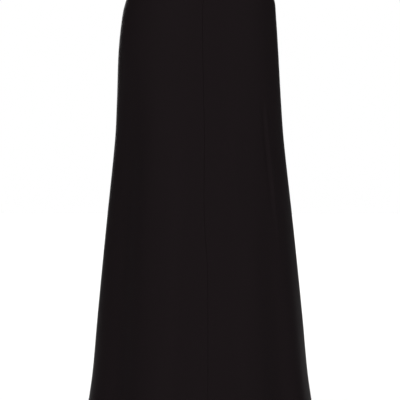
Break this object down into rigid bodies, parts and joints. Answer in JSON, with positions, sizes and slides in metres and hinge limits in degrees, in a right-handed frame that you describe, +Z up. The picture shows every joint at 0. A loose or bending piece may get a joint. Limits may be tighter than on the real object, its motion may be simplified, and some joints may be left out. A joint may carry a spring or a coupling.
{
  "type": "long a-line skirt",
  "caption": "Long plain A-line skirt in near-black crepe, smooth over the hips and flaring to the hem, with a centre front seam, a narrow waistband and a concealed zip at the back.",
  "frame": {"origin": "middle of the waist opening, level with the top edge of the waistband", "axes": "+Z up towards the waist, -Y towards the front of the skirt, +X towards the wearer's left"},
  "size_m": [0.4922, 0.4055, 1.0099],
  "materials": {
    "crepe": "near-black, faintly warm, matt crepe with a soft sheen at the edges",
    "zip_tape": "black woven tape",
    "zip_enamel": "black enamel, semi-gloss"
  },
  "bodies": {
    "skirt": {"front_left": "crepe", "front_right": "crepe", "back_left": "crepe", "back_right": "crepe", "waistband": "crepe", "zip_tape_left": "zip_tape", "zip_tape_right": "zip_tape", "zip_slider": "zip_enamel"},
    "pull": {"zip_pull": "zip_enamel"}
  },
  "joints": [
    {"name": "pull_swing", "type": "hinge", "parent": "skirt", "child": "pull", "pos_m": [0, 0.09399, -0.00991], "axis": [1, 0, 0], "range_deg": [0, 160]}
  ]
}
